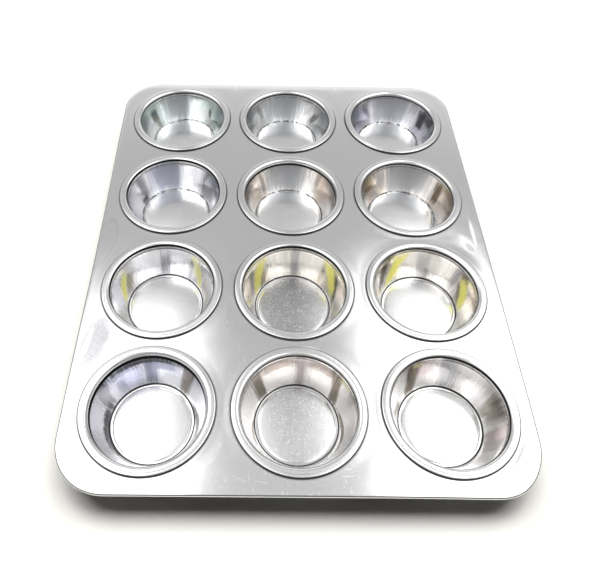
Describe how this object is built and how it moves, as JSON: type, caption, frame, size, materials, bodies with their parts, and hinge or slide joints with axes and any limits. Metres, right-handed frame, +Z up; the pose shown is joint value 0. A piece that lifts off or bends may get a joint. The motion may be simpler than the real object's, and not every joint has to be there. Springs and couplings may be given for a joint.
{
  "type": "muffin pan",
  "caption": "Muffin pan: a flat steel deck with a rolled wired rim, and round drawn cups with raised rings locked into its holes.",
  "frame": {"origin": "on the surface that the pan stands on, under the middle of the deck", "axes": "+Z up out of the cups, +Y along the deck's long side away from the viewer, +X to the viewer's right"},
  "size_m": [0.2752, 0.3508, 0.0255],
  "materials": {
    "deck_steel": "satin rolled sheet with fine scratches, soft dents and speckles",
    "cup_steel": "bright drawn sheet with fine vertical drawing marks in the wall and a satin ring and floor",
    "wire_steel": "dull drawn wire, hidden in the rolled rim"
  },
  "bodies": {
    "root": {"deck_sheet": "deck_steel", "rim_wire": "wire_steel", "cup_row1_column1": "cup_steel", "cup_row1_column2": "cup_steel", "cup_row1_column3": "cup_steel", "cup_row2_column1": "cup_steel", "cup_row2_column2": "cup_steel", "cup_row2_column3": "cup_steel", "cup_row3_column1": "cup_steel", "cup_row3_column2": "cup_steel", "cup_row3_column3": "cup_steel", "cup_row4_column1": "cup_steel", "cup_row4_column2": "cup_steel", "cup_row4_column3": "cup_steel"}
  },
  "joints": []
}
